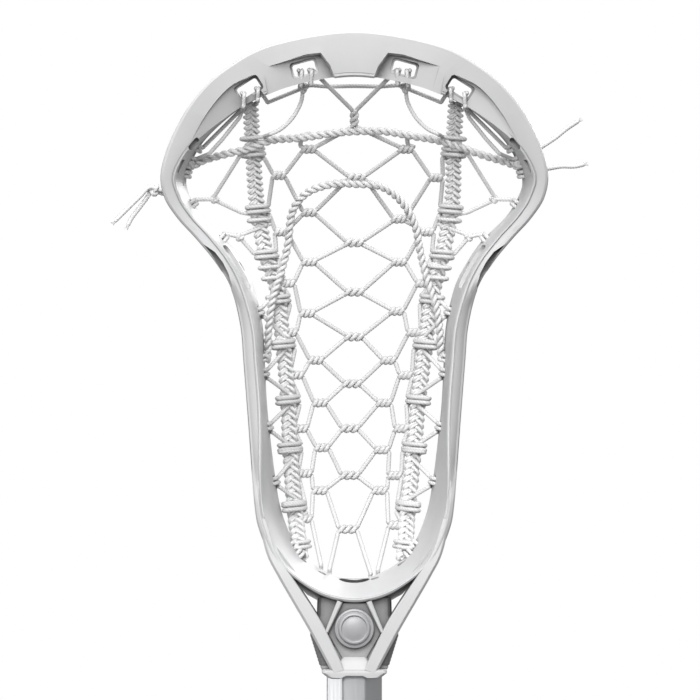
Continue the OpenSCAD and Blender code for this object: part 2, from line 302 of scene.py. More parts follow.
def foam_material():
    """Closed-cell black foam, with open pores where it was cut."""
    m, tree = new_material("cut foam", (0.02, 0.02, 0.02), 0.95)
    where = add_node(tree, "TexCoord").outputs["Object"]
    pores = add_node(tree, "TexVoronoi", {"Vector": where, "Scale": 1500.0}).outputs["Distance"]
    drive(tree, mix_colour(tree, pores, (0.006, 0.006, 0.006), (0.045, 0.045, 0.045)))
    bump(tree, pores, 0.0003, 0.8)
    return m


def badge_material():
    """Grey enamel on the badge."""
    m, tree = new_material("badge", (0.5, 0.5, 0.51), 0.42, Metallic=0.15)
    drive(tree, mix_colour(tree, noise(tree, 400, 4), (0.36, 0.36, 0.37), (0.44, 0.44, 0.45)))
    bump(tree, noise(tree, 3000, 2), 0.00003, 0.4)
    return m


def panel_material(name, dark, light, grain_scale, depth, painted_cup_shadow=False):
    """The darker, matt surfaces of the moulding, with a spark-eroded grain: their darker colour and the
    darkening in their corners are painted shade. With the cup's shadow on, they are darker upwards, a painted
    shadow of the cup.
    """
    m, tree = new_material(name, light, 0.6)
    grain = noise(tree, grain_scale, 3)
    colour = mix_colour(tree, grain, dark, light)
    if painted_cup_shadow:
        # painted shadow of the cup: darker towards the top
        where = add_node(tree, "TexCoord").outputs["Object"]
        height = add_node(tree, "SeparateXYZ", {0: where}).outputs["Z"]
        low, high = HEAD_Z + 0.007, HEAD_Z + 0.034
        colour = scaled(tree, colour, to_range(tree, height, 1.12, 0.66, low, high))
    # painted shade in corners
    drive(tree, painted_corner_shade(tree, colour, 0.012, 0.3))
    bump(tree, grain, depth, 0.8)
    return m


NYLON = nylon_material()
# darker copies of the nylon, painted shade for the throat plate under the cup and the socket's faces beside
# the arms
SHADED_PANEL = panel_material("matt panel in painted shade", (0.38, 0.38, 0.382), (0.46, 0.46, 0.464), 900, 0.00005, painted_cup_shadow=True)
SHADED_GRAIN = panel_material("coarse grain in painted shade", (0.12, 0.12, 0.122), (0.30, 0.30, 0.304), 1500, 0.0003)
CORD = cord_material("pocket cord", (0.56, 0.56, 0.57), (0.73, 0.73, 0.73))
WOVEN = cord_material("woven runner", (0.72, 0.72, 0.73), (0.86, 0.86, 0.86), 2600)
LACE = cord_material("lace cord", (0.56, 0.56, 0.57), (0.80, 0.80, 0.80))
ALLOY = metal_material("drawn alloy", (0.62, 0.63, 0.64), 0.36, (1, 1, 0.03), 1400)
STEEL = metal_material("screw steel", (0.6, 0.6, 0.62), 0.3, (1, 1, 1), 900)
RUBBER = rubber_material()
FOAM = foam_material()
BADGE = badge_material()

# ---- the head's outline
# From the scoop's tip round to the middle of the cup: outer x, z at the front face, lip x, z, the
# inner edge at the back x, z, and the depths of the front face and of the rear edge.
STATIONS = np.array([
    [0, 297, 0, 276, 0, 277, -22, -8], [37.5, 291, 23, 273, 24, 274, -20, -4],
    [59, 280, 41, 268, 42, 268, -17, 2], [73, 267, 55, 261, 55.4, 260.6, -14, 9],
    [83, 251, 72, 247.5, 70.6, 246.6, -10, 17], [89, 234, 82, 231, 78, 231, -6, 24],
    [88, 222, 80, 220, 76, 221, -3, 30], [82, 212, 74, 211, 70, 212, -1, 34],
    [73, 202, 65, 201, 60, 202, 0, 37], [64, 191, 57, 192, 53, 192, 0, 39],
    [57, 179, 51, 180, 47, 180, 0, 40], [52.7, 162, 46, 162, 43, 162, -1, 42],
    [51.2, 145, 44.4, 145, 42, 145, -2, 43], [49.2, 120, 42.6, 120, 40.5, 120, -5, 43],
    [46.2, 82, 42, 82, 36, 84, -11, 40], [43.7, 68, 39, 68, 31.5, 68, -13, 37],
    [37.5, 55, 34, 57, 25, 56, -14, 34], [27.6, 45.8, 26, 48.3, 17, 49.5, -15, 31],
    [14.5, 37.8, 13.6, 40.3, 8, 45.3, -16, 28], [0, 34.8, 0, 37.3, 0, 44.2, -16, 26]], float)
WALL = 2.6
by_height = STATIONS[::-1]


def rear_y(z):
    return np.interp(z, by_height[:, 5], by_height[:, 7])


def rear_x(z):
    return np.interp(z, by_height[:, 5], by_height[:, 4])


def on_pocket(x, z, lift=0.0):
    """The pocket's surface at a place of the front view, lifted towards the front by lift."""
    sag = 15 * np.interp(z, [45, 65, 90, 170, 220, 260, 280], [0.1, 0.6, 1, 0.95, 0.6, 0.2, 0])
    q = min(1, abs(x) / max(20, rear_x(z)))
    return np.array([x, rear_y(z) - 2 + sag * (1 - q * q) - lift, z])


# ---- cords
def rope(shape, line, radius, sides=12, step=0.5, pitch=4.2, depth=0.22, closed_ends=True):
    """Adds one cord of twisted strands along a line. The shade is darker in the creases."""
    strands = 3
    line = even(line, step)
    side, up = frames_along(line)
    along = np.arange(len(line)) * step
    angle = np.arange(sides) / sides * 2 * pi
    turn = strands / 2 * (angle[None, :] - 2 * pi * along[:, None] / pitch)
    bulge = np.abs(np.cos(turn))
    r = radius * (1 - depth + depth * bulge)
    if closed_ends:
        ends = np.minimum(np.arange(len(line)), np.arange(len(line))[::-1]) * step / radius
        r = r * np.sqrt(np.clip(1 - (1 - np.clip(ends, 0.15, 1)) ** 2, 0, 1))[:, None]
    rings = (line[:, None, :] + r[..., None] * (np.cos(angle)[None, :, None] * side[:, None, :]
                                                + np.sin(angle)[None, :, None] * up[:, None, :]))
    shape.rings(rings, np.clip(bulge * 1.35, 0, 1).ravel())


def twisted(shape, line, radius, lay, pitch):
    """Adds two cords laid around a line like a rope, each turning once in the length lay."""
    step = 0.6
    line = even(line, step)
    side, up = frames_along(line)
    along = np.arange(len(line)) * step
    for k in range(2):
        a = 2 * pi * (along / lay + k / 2)
        offset = 0.95 * radius * (np.cos(a)[:, None] * side + np.sin(a)[:, None] * up)
        rope(shape, line + offset, radius, pitch=pitch)


# The free ends' routes, in metres above the collar's lower edge, as the CAD model has them.
TAILS = {
    "left_tail_long": [
        (-0.079, 0.018, 0.228), (-0.086, 0.015, 0.225), (-0.091, 0.014, 0.225), (-0.095, 0.012, 0.226),
        (-0.099, 0.011, 0.222), (-0.103, 0.009, 0.218), (-0.107, 0.008, 0.214), (-0.111, 0.007, 0.210)],
    "left_tail_short": [
        (-0.080, 0.019, 0.224), (-0.087, 0.017, 0.223), (-0.091, 0.016, 0.224), (-0.094, 0.015, 0.224),
        (-0.097, 0.014, 0.220), (-0.100, 0.013, 0.216), (-0.103, 0.012, 0.212), (-0.105, 0.011, 0.208)],
    "right_tail_upper": [
        (0.074, 0.015, 0.237), (0.080, 0.016, 0.240), (0.087, 0.015, 0.245), (0.093, 0.014, 0.249),
        (0.098, 0.013, 0.253), (0.104, 0.011, 0.257)],
    "right_tail_lower": [
        (0.075, 0.020, 0.233), (0.082, 0.020, 0.234), (0.090, 0.020, 0.235), (0.096, 0.019, 0.236),
        (0.102, 0.019, 0.236), (0.107, 0.018, 0.237)],
}
CORD_R = 1.1  # the net's cords and the free ends
LACE_R = 1.0  # the laces
TUFT_HAIRS = 9


def make_tails():
    """The cords' free ends: a lightly twisted tube and, at its tip, a small frayed tuft."""
    for node, route in TAILS.items():
        line = catmull(np.array(route) / MM, 6)
        shape = Shape()
        rope(shape, line, CORD_R, step=0.35, pitch=3.6)
        tip, way = line[-1], unit(line[-1] - line[-3])
        for k in range(TUFT_HAIRS):
            a = 2 * pi * k / TUFT_HAIRS
            out = 0.55 * np.array([cos(a) * way[2], sin(a), -cos(a) * way[0]])
            reach = 1.2 + 0.5 * random.random()
            hair = [tip - way * 0.6 + out, tip + way * 0.5 + out * 1.3, tip + way * reach + out * 1.8]
            rope(shape, hair, 0.16, sides=5, step=0.5, depth=0)
        piece = shape.build(node + "_cord", LACE, "cord", node)
        points = place(line)
        [tuple(p) for p in place(even(line, 1.5))]


make_tails()


# ---- moulded head
def wall_section(s):
    """The wall's closed section at one station, in points [x, y, z]."""
    outer, lip, rear, front_y, back_y = s[0:2], s[2:4], s[4:6], s[6], s[7]
    out = unit(outer - rear)
    wide = np.linalg.norm(outer - rear)
    u_lip = np.dot(lip - rear, out)
    k = min(1.0, (back_y - front_y) / 34)                # details get smaller where the wall is shallow
    band = wide - u_lip
    scoop = float(np.clip((band - 6) / 15, 0, 1))        # the scoop is a thick ledge that slopes back
    low = float(np.clip((96 - rear[1]) / 14, 0, 1))      # the lowest part slants to a ridge
    ramp = 1.8 * scoop + min(2.0, 0.45 * band) * low
    y_lip = front_y + 0.4 + ramp

    def inner(y):
        return u_lip * (back_y - y) / (back_y - y_lip)

    def wall(y):
        return inner(y) + WALL

    def between(y, part):
        return wide - 0.2 + (wall(y) - wide + 0.2) * part

    y = [front_y + thin * k * (1 - scoop) + thick * scoop
         for thin, thick in ((3.0, 4.0), (5.2, 7.0), (7.2, 9.0), (9.0, 10.6), (11.5, 11.8))]
    k = min(k, (back_y - y[4]) / 15)
    edge = 1.6 * (1 - 0.3 * scoop) * (1 - low) + min(2.4, 0.55 * band) * low
    fine = 1 - low
    near = 1 - 0.45 * low
    # the side walls' front leans outwards
    lean = 4.4 * float(np.clip((184 - rear[1]) / 12, 0, 1) * np.clip((rear[1] - 84) / 14, 0, 1))
    points = [
        (u_lip - 0.05, y_lip + 2.4), (u_lip + 0.2, y_lip + 0.9), (u_lip + 0.75 * near, y_lip),
        (u_lip + 1.25 * near, y_lip - 0.02), (u_lip + 1.45 * near, y_lip + 0.45 * fine - 0.04 * low),
        (u_lip + 1.75 * near, y_lip + 0.5 * fine - 0.2 * low),
        (u_lip + 1.95 * near, y_lip + 0.25 * fine - 0.3 * low),
        (u_lip + 1.95 * near + 0.4 * (band - edge - 1.95 * near), front_y + 0.2 + ramp * 0.45 + lean * 0.35),
        (wide - edge, front_y + 0.2 + lean * 0.9), (wide - 0.85 * edge, front_y + 0.3 + lean),
        (wide - 0.3 * edge, front_y + 0.65 * edge + lean), (wide - 0.12, front_y + 1.2 * edge + lean),
        (wide, max(y[0] + 0.3, front_y + 1.3 * edge + lean)), (wide - 0.15, y[1] + 0.4),
        (between(y[2], 0.3), y[2]), (between(y[3], 0.8), y[3]),
        (wall(y[4]), y[4]), (wall(back_y - 14 * k), back_y - 14 * k),
        (wall(back_y - 8 * k) + 0.1, back_y - 8 * k), (wall(back_y - 6 * k) + 0.9, back_y - 6.2 * k),
        (wall(back_y - 5 * k) + 1.4, back_y - 4.6 * k), (WALL + 1.5, back_y - 2.4 * k),
        (WALL + 1.0, back_y - 0.7 * k), (WALL + 0.1, back_y), (0.9, back_y), (0.15, back_y - 0.6 * k),
        (-0.25, back_y - 2.4 * k), (inner(back_y - 5 * k) - 0.15, back_y - 5 * k),
        (inner(back_y - 8 * k), back_y - 8 * k)]
    for part in (0.4, 0.6, 0.8):
        deep = back_y + (y_lip - back_y) * part
        points.append((inner(deep), deep))
    flat = np.array([rear + out * u for u, _ in points])
    return np.stack([flat[:, 0], [p[1] for p in points], flat[:, 1]], 1)


def raw_object(name, shape):
    """A plain object in the frame, used to cut or to add, and then removed."""
    mesh = shape.mesh(name)
    outward = bmesh.new()
    outward.from_mesh(mesh)
    if outward.calc_volume(signed=True) < 0:
        bmesh.ops.reverse_faces(outward, faces=outward.faces)
    outward.to_mesh(mesh)
    outward.free()
    return new_object(name, mesh)


def combine(target, other, operation):
    """Applies one boolean and deletes the other object."""
    step = target.modifiers.new(operation, "BOOLEAN")
    step.object = other
    step.operation = operation
    step.solver = "MANIFOLD"
    graph = bpy.context.evaluated_depsgraph_get()
    mesh = bpy.data.meshes.new_from_object(target.evaluated_get(graph))
    target.modifiers.clear()
    target.data = mesh
    bpy.data.objects.remove(other)


def rounded_box(half, radius, n=5):
    """An outline with round corners, centred on nothing: points [a, b]."""
    out = []
    for cx, cy, start in ((1, 1, 0), (-1, 1, 90), (-1, -1, 180), (1, -1, 270)):
        for i in range(n + 1):
            a = radians(start + 90 * i / n)
            out.append(((half[0] - radius) * cx + radius * cos(a),
                        (half[1] - radius) * cy + radius * sin(a)))
    return out


def prism(outline, centre, first, second, low, high):
    """The outline, drawn along first and second, extruded from low to high along their normal."""
    first, second = unit(np.asarray(first, float)), unit(np.asarray(second, float))
    normal = np.cross(first, second)
    return skin([[np.asarray(centre, float) + first * a + second * b + normal * d for a, b in outline]
                 for d in (low, high)])


def wall_at(z):
    """The wall's rear edge on the right at a height: its x and z, and the direction along it."""
    here, ahead = (np.array([rear_x(v), v]) for v in (z, z + 1.0))
    along = unit(ahead - here)
    return here, np.array([along[0], 0, along[1]])


WING_TIES = (219, 203)  # heights at which the wing laces are tied to the side wall
SIDE_TIES = (169, 140, 115, 90)  # and the lower laces
WINDOWS = ((23, 280, -15), (48.5, 271, -32))  # the scoop's string windows: x, z and tilt
CUP_HOLES = (-24, -15, 9.5, 22)  # x of the holes in the cup's rear edge
TUBE_HALF = 12.75  # half the socket's octagonal hole across its flats
X, Y, Z = (1, 0, 0), (0, 1, 0), (0, 0, 1)


def head_shell():
    """The wall all around the head."""
    left = (STATIONS * [-1, 1, -1, 1, -1, 1, 1, 1])[1:-1][::-1]
    around = catmull(np.vstack([STATIONS, left]), 12, closed=True)
    return raw_object("head_wall", skin([wall_section(s) for s in around], closed=True))


def loft(slices, n=5):
    """Rounded boxes stacked up the z axis: (z, half width, half depth, middle depth, radius)."""
    return skin([[(a, mid_y + b, z) for a, b in rounded_box((half_w, half_d), radius, n)]
                 for z, half_w, half_d, mid_y, radius in slices])


def socket_half(z):
    """Half the socket's width at a height."""
    return float(np.interp(z, [2, 20, 29, 36], [14.4, 20.0, 16.9, 16.7]))


def throat_solids():
    """The arms from the side walls to the collar, and all that is behind and between them."""
    # outer x, z, inner x, z, front depth, rear depth, from the side wall down to the collar
    arm = catmull(np.array([
        [44.3, 74, 40.5, 73, -11.6, 2], [40.4, 57.5, 35.6, 57.5, -13.4, 4],
        [35.3, 47.2, 29.8, 48.6, -14.6, 7], [29.2, 36.6, 22.9, 38.4, -15.6, 7],
        [20.8, 22.2, 14.5, 25.0, -16.6, 4],
        [13.4, 8.4, 7.5, 10.8, -17.0, 0], [10.4, 2.6, 4.7, 4.2, -17.0, -1]], float), 6)
    for side in (1, -1):
        rings = []
        for ox, oz, ix, iz, front, back in arm:
            o, i = np.array([ox, oz]), np.array([ix, iz])
            across = unit(i - o)
            wide = np.linalg.norm(i - o)
            ring = []
            for u, y in ((0.0, back), (0.0, front + 2.2), (0.12, front + 1.3), (1.0, front + 0.15),
                         (1.25, front), (wide - 0.6, front), (wide - 0.4, front + 0.1),
                         (wide - 0.05, front + 0.6), (wide, front + 1.1), (wide, back)):
                p = o + across * u
                ring.append((p[0] * side, y, p[1]))
            rings.append(ring)
        yield skin(rings)
    # the webs that fill the corners between the arms and the cup, set back from the front
    web = [(40, 66), (33, 50), (21.8, 38.4), (16.7, 35.6), (11, 33.8), (13, 38.2), (25, 46.5), (34, 58)]
    for side in (1, -1):
        yield skin([[(x * side, y + 0.09 * (z - 36), z) for x, z in web] for y in (-8.4, 14)])
    # the socket around the shaft, with fine level ribs on its sides
    slices = []
    for i in range(36):
        z = 2.0 + i
        rib = 0.22 if i % 2 else 0.0
        slices.append((z, socket_half(z) + rib, np.interp(z, [2, 21, 36], [14.2, 15.0, 16.5]),
                       np.interp(z, [2, 21, 36], [1.2, 1.6, 4.5]), 4.5))
    yield loft(slices)
    # the collar, thicker, with a rounded lower edge
    yield loft([(0.0, 10.8, 15.2, -0.8, 2.4), (0.5, 12.2, 16.0, -0.9, 2.8),
                (2.6, 14.9, 16.1, -0.9, 2.4), (3.9, 15.0, 16.0, -0.8, 2.4),
                (4.4, 14.4, 15.2, -0.6, 2.4)], 6)
    # the slope between the arms, from the collar up to the badge's plate
    yield loft([(3.0, 9.2, 15.2, -0.9, 1.5), (4.2, 8.8, 15.7, -0.8, 1.5),
                (6.0, 8.0, 15.3, -0.6, 1.5), (8.2, 7.0, 14.8, -0.4, 1.5),
                (10.0, 5.6, 14.1, 0.0, 1.5)], 6)
    # the V ribs beside the badge: a bevelled section, and x, z and half width at three places
    section = ((-1, -12), (-1, -15.9), (-0.55, -16.4), (0.55, -16.4), (1, -15.9), (1, -12))
    for side in (1, -1):
        yield skin([[((x + dx * w) * side, y, z + 0.35 * dx * w) for dx, y in section]
                    for x, z, w in ((6.6, 35.5, 1.2), (9.6, 28.6, 0.95), (12.8, 21.4, 0.75))])


def tilted(degrees):
    """Two directions of the front view, turned anticlockwise."""
    a = radians(degrees)
    return (cos(a), 0, sin(a)), (-sin(a), 0, cos(a))


def recess(edge, middle, side):
    """A cut from the front with the given floor edge, whose walls open towards the front."""
    low = [(x * side, y, z) for x, y, z in edge]
    wider = []
    for x, y, z in edge:
        away = unit(np.array([x - middle[0], z - middle[1]])) * 0.14 * (y + 24)
        wider.append(((x + away[0]) * side, -24, z + away[1]))
    return skin([low, wider, [(x, -60, z) for x, _, z in wider]])


def side_cutters(side):
    """What is cut out of one side of the head."""
    for x, z, tilt in WINDOWS:
        yield prism(rounded_box((5.2, 2.75), 1.2), (x * side, 0, z), *tilted(tilt * side), -40, 40)
    # the recess around the inner window: deep above and beside the middle, fading outwards
    inner = [(9.4, -11.0, 274), (11.7, -12.6, 280.2), (15.8, -13.4, 286.0), (22.5, -14.2, 285.3),
             (42, -18.9, 280.0), (39.5, -13.0, 267), (24, -8.5, 270)]
    # and the long facet that runs from the outer window down to the side wall
    outer = [(40.8, -10.2, 266.0), (47.4, -11.4, 276.0), (57.4, -12.4, 271.0), (66.6, -11.2, 260.8),
             (73.9, -8.8, 248.8), (80.2, -6.8, 236.5), (76, 0, 234), (60, -2, 249), (48, -4, 260)]
    outer = [outer[0]] + [tuple(p) for p in catmull(outer[1:6], 4)] + outer[6:]
    yield recess(inner, (24, 271), side)
    yield recess(outer, (60, 253), side)
    # a shallow frame around each window, whose depth is its floor's y
    for (x, z, tilt), floor_y in zip(WINDOWS, (-12.6, -9.6)):
        yield prism(rounded_box((6.3, 3.8), 1.6), (x * side, floor_y, z), *tilted(tilt * side), 0, 30)
    # the slot in the side wall below its widest place
    here, along = wall_at(189)
    yield prism(rounded_box((11.5, 8.5), 4), (here[0] * side + 8 * side, 19, here[1] - 2),
                along * [side, 1, 1], Y, -22, 22)
    # two small slots inside the lip, where the scoop runs into the side wall
    for x, y, z, half, slope in ((73.9, -3.0, 245.7, (3.2, 1.1), -50),
                                 (79.5, -2.0, 235.2, (3.3, 1.1), -68)):
        a = radians(slope)
        yield prism(rounded_box(half, 1.0), (x * side, y, z), (cos(a) * side, 0, sin(a)),
                    (sin(a), 0, -cos(a) * side), -16, 1.5)
    # a narrow groove inside the outer edge, where the front rail meets the lower wall
    groove = [(69.6, 199.6), (66.2, 195.4), (63.0, 190.4), (60.3, 185.4), (58.2, 180.4), (57.0, 176.4),
              (56.6, 180.6), (58.0, 186.0), (60.6, 191.2), (64.3, 196.0)]
    yield skin([[(x * side, y, z) for x, z in groove] for y in (5.4, -9)])
    # the holes that the laces pass through, just inside the rear edge
    for z in WING_TIES + SIDE_TIES + (236, 190):
        here, along = wall_at(z)
        yield prism(rounded_box((2.6, 1.7), 1.6), (here[0] * side, float(rear_y(z)) - 6.4, here[1]),
                    along * [side, 1, 1], Y, -14, 14)


def head_cutters():
    """Everything that is cut out of the head."""
    yield from side_cutters(1)
    yield from side_cutters(-1)
    for x in CUP_HOLES:
        z = 44.2 + 0.017 * x * x
        yield prism(rounded_box((1.9, 1.9), 1.8), (x, float(rear_y(z)) - 6.5, z), X, Y, -9, 9)
    # the shaft's octagonal hole and the screw's hole
    corner = TUBE_HALF / cos(pi / 8)
    octagon = [(corner * cos(radians(22.5 + 45 * i)), corner * sin(radians(22.5 + 45 * i)))
               for i in range(8)]
    yield prism(octagon, (0, 0, 0), X, Y, -2, 32)
    yield prism(rounded_box((2.4, 2.4), 2.39, 8), (0, 14, 14), X, Z, -8, 6)
    # the arch over the shaft's front facet
    arch = [(-6.6, -1), (6.6, -1), (6.4, 0.2), (3.9, 1.5), (-3.9, 1.5), (-6.4, 0.2)]
    yield prism(arch, (0, 0, 0), X, Z, -1, 30)


def make_head():
    """The moulded head: the wall, with the throat added and the openings cut out."""
    head = head_shell()
    for shape in throat_solids():
        combine(head, raw_object("part", shape), "UNION")
    for shape in head_cutters():
        combine(head, raw_object("cut", shape), "DIFFERENCE")
    head.name = "head_shell"
    finish_piece(head, NYLON, "nylon", "head_frame", angle=21)


def make_panels():
    """The darker plate behind the badge, and the grained faces of the socket beside the arms: their darker
    colours are painted shade.
    """
    plate = [(-4.6, 7.6), (4.6, 7.6), (12.6, 21.4), (8.4, 31.5), (6.4, 34.6), (-6.4, 34.6), (-8.4, 31.5),
             (-12.6, 21.4)]
    inset = [(x * 0.97, 21 + (z - 21) * 0.97) for x, z in plate]
    layers = ((plate, -13.0), (plate, -13.75), (inset, -13.95))
    skin([[(x, y, z) for x, z in edge] for edge, y in layers]).build("throat_plate", SHADED_PANEL, "nylon", angle=25)
    # thin darker skins on the socket's sides, painted shade beside the arms and under the cup
    for name, low, high, x_in, material, grain in (("socket_grain_shade", 6.0, 20.0, 9.0, SHADED_GRAIN, 0.1),
                                                   ("socket_face_shade", 20.2, 36.9, 2.0, SHADED_PANEL, 0.0)):
        shape = Shape()
        for side in (1, -1):
            rings = []
            for z in np.linspace(low, high, 24):
                wide = socket_half(z) + 0.35 + grain * sin(z * 4.0)
                front = float(np.interp(z, [2, 21, 36], [-13.0, -13.4, -12.0])) - 0.18
                rings.append([(side * x, y, z) for x, y in (
                    (x_in, front), (wide - 4.0, front), (wide - 1.9, front + 0.8),
                    (wide - 0.7, front + 2.1), (wide, front + 4.4), (wide, 4), (wide - 1.2, 4),
                    (wide - 1.6, front + 5), (x_in, front + 1.2))])
            shape.rings(rings)
        shape.build(name, material, "nylon", angle=25)


make_head()
make_panels()


# ---- the strung pocket
# Routes as x and z of the front view, where the CAD model has them.
MIDDLE = [(0, 258), (1, 231), (0, 201), (0, 178), (0, 157), (-1, 135), (-2, 114), (-2, 92), (-3, 67)]
LEFT_IN = [(-21, 244), (-21, 215), (-21, 192), (-22, 168), (-18, 146), (-16, 126), (-15, 105), (-16, 85)]
RIGHT_IN = [(24, 244), (21, 212), (21, 192), (20, 169), (16, 146), (14, 126), (13, 104), (12, 85)]
LEFT_OUT = [(-35, 232), (-34, 206), (-31, 182), (-30, 159), (-27, 139), (-25, 114), (-23, 93), (-23, 72)]
RIGHT_OUT = [(38, 231), (34, 206), (32, 182), (28, 159), (24, 139), (22, 114), (19, 92), (19, 69)]
RUNNERS = {
    -1: np.array([(-48, 265), (-47, 244), (-46, 225), (-44, 209), (-41, 195), (-36, 179), (-34, 160),
                  (-33, 151), (-31, 128), (-30, 105), (-28, 78), (-26, 62), (-25, 54)], float),
    1: np.array([(47, 265), (46, 244), (46, 225), (44, 209), (41, 195), (37, 179), (34, 160), (33, 151),
                 (30, 128), (28, 105), (25, 76), (24, 62), (23, 53)], float)}
ARCH = [(-41, 145), (-40, 160), (-38, 175), (-34, 188), (-31, 200), (-29, 215), (-22, 224), (-10, 228),
        (1, 228), (12, 227), (21, 221), (28, 210), (31, 196), (34, 184), (38, 172), (40, 158), (41, 145)]
STRAIGHT = [(-78, 235), (-69, 239), (-58, 242), (-49, 244), (-38, 248), (-25, 249), (-11, 251), (0, 252),
            (14, 252), (26, 250), (38, 248), (48, 245), (60, 241), (70, 238), (79, 235)]
TWIST, TWIST_R = 1.5, 1.2  # turns and radius of two cords at a crossing
LOOP_PITCH = 2.3  # between the turns of a wound cord
WRAPS = [242, 216, 195, 174, 153, 127, 105, 77]  # heights at which the net is wrapped on the runners
RAIL = catmull(STATIONS[:, [4, 7, 5]], 12)  # the wall's rear edge on the right


def runner_x(side, z):
    route = RUNNERS[side][::-1]
    return float(np.interp(z, route[:, 1], route[:, 0]))


def rail_loop(x, z, turns=2, drop=None):
    """Points of a cord wound around the wall's rear edge near x, z, beginning on the pocket's side."""
    line = RAIL * [copysign(1, x), 1, 1]
    i = int(np.clip(np.argmin(np.hypot(line[:, 0] - x, line[:, 2] - z)), 1, len(line) - 2))
    along = unit(line[i + 1] - line[i - 1])
    out = unit(np.cross(along, Y))
    if np.dot(out, line[i] - [0, line[i][1], 160]) < 0:
        out = -out
    n = max(8, int(turns * 14))
    t = np.linspace(0, 1, n + 1)
    a = pi + 2 * pi * turns * t
    drop = LOOP_PITCH * turns if drop is None else drop
    return (line[i] + out * 1.9 + np.array([0, -2.6, 0]) + 3.5 * np.cos(a)[:, None] * out
            + 3.9 * np.sin(a)[:, None] * np.array(Y) + ((t - 0.5) * drop)[:, None] * along)


def runner_wrap(side, z, turns=2):
    """Points of a cord wound around a runner, from its inner side down and back to its inner side."""
    x = runner_x(side, z)
    slope = (runner_x(side, z - 4) - runner_x(side, z + 4)) / 8
    n = int(turns * 14)
    t = np.linspace(0, 1, n + 1)
    a = 2 * pi * turns * t
    dz = (0.5 - t) * LOOP_PITCH * turns
    return np.array([on_pocket(x - slope * d - side * 5.1 * cos(b), z + d, 3.5 * sin(b) + 0.2)
                     for b, d in zip(a, dz)])


def crossing(x, z, wide, heading):
    """Points of one of the two cords twisted around each other at a crossing of the net."""
    t = np.linspace(0, 1, 21)
    shift = (t - 0.5) * wide
    phase = pi / 2 + 2 * pi * TWIST * t + (0 if heading > 0 else pi)
    line = np.array([on_pocket(x + a, z + TWIST_R * sin(f), TWIST_R * cos(f))
                     for a, f in zip(shift, phase)])
    return line if heading > 0 else line[::-1]


def link(a, b):
    """Points between two places, so that the smooth line stays straight there."""
    a, b = np.asarray(a, float), np.asarray(b, float)
    return np.array([a + (b - a) * t for t in (0.12, 0.5, 0.88)])


def thread(shape, pieces, radius=CORD_R):
    """One cord through lists of points, with straight links between them."""
    path = [np.atleast_2d(np.asarray(pieces[0], float))]
    for piece in pieces[1:]:
        piece = np.atleast_2d(np.asarray(piece, float))
        if np.linalg.norm(piece[0] - path[-1][-1]) > 4:
            path.append(link(path[-1][-1], piece[0]))
        path.append(piece)
    rope(shape, catmull(np.vstack(path), 4), radius)


def lace(shape, *pieces):
    """The same with the thinner cord of the laces."""
    thread(shape, pieces, LACE_R)


def knot(shape, centre, size=0.62, radius=CORD_R, tilt=0.0):
    """A small overhand knot."""
    t = np.linspace(0, 2 * pi, 60)
    x, y, z = np.sin(t) + 2 * np.sin(2 * t), -np.sin(3 * t), np.cos(t) - 2 * np.cos(2 * t)
    c, s = cos(tilt), sin(tilt)
    line = np.stack([x * c - z * s, y, x * s + z * c], 1) * size + np.asarray(centre, float)
    rope(shape, line, radius, closed_ends=False)


def cup_tie(x):
    """The end of a net cord: over the cup's rear edge and down behind it."""
    i = int(np.argmin(np.abs(RAIL[:, 0] - abs(x)) + (RAIL[:, 2] > 80) * 99))
    y, z = RAIL[i, 1:]
    return np.array([(x, y + behind, z + up)
                     for behind, up in ((0.9, 2.2), (1.6, 0.6), (1.5, -2.5), (1.2, -4.6))])


COLUMNS = [[(runner_x(-1, z), z) for z in WRAPS], LEFT_OUT, LEFT_IN, MIDDLE, RIGHT_IN, RIGHT_OUT,
           [(runner_x(1, z), z) for z in WRAPS]]
WIDE = [0, 6.2, 6.8, 9.0, 6.8, 6.2, 0]  # how wide the crossings of a column are


def net_cord(shape, pieces, column, row, heading):
    """Follows one cord of the net from a crossing down to the cup."""
    while True:
        if column in (0, 6):
            if row >= len(WRAPS):
                break
            pieces.append(runner_wrap(-1 if column == 0 else 1, WRAPS[row]))
            heading = 1 if column == 0 else -1
        else:
            if row >= len(COLUMNS[column]):
                break
            x, z = COLUMNS[column][row]
            if column == 3 and row == 0:                 # the first crossing stands upright
                t = np.linspace(0, 1, 21)
                a = 2 * pi * TWIST * t + (pi if heading > 0 else 0)
                pieces.append([on_pocket(x + TWIST_R * cos(b), z + 4 - 8 * d, TWIST_R * sin(b))
                               for b, d in zip(a, t)])
            else:
                pieces.append(crossing(x, z, WIDE[column], heading))
        # away from the middle the row stays, towards it or onto a runner the cord goes a row down
        row += 1 if (heading > 0 and column in (1, 2, 5)) or (heading < 0 and column in (5, 4, 1)) else 0
        column += heading
    if column in (0, 6):
        end = -24.5 if heading < 0 else 22
    elif column == 2:
        end = -15.5 if heading > 0 else -11.5
    else:
        end = 7.5 if heading > 0 else 11
    pieces.append(cup_tie(end))
    thread(shape, pieces)
    knot(shape, pieces[-1][-1] + [0, 0.8, -0.6], 0.5)


def scoop_loop(x, z_low, z_high, front, back, shift):
    """Points of a cord around the bar between a string window and the scoop's lip."""
    corners = [(front - 0.6, z_high), (front - 1.6, z_high - 1.4), (front, z_low + 1.4), (front + 1.0, z_low),
               (back - 0.8, z_low), (back, z_low + 1.2), (back, z_high - 1.2), (back - 0.6, z_high)]
    corners.append(corners[0])
    return np.array([(x + shift * i / 8, y, z) for i, (y, z) in enumerate(corners)])


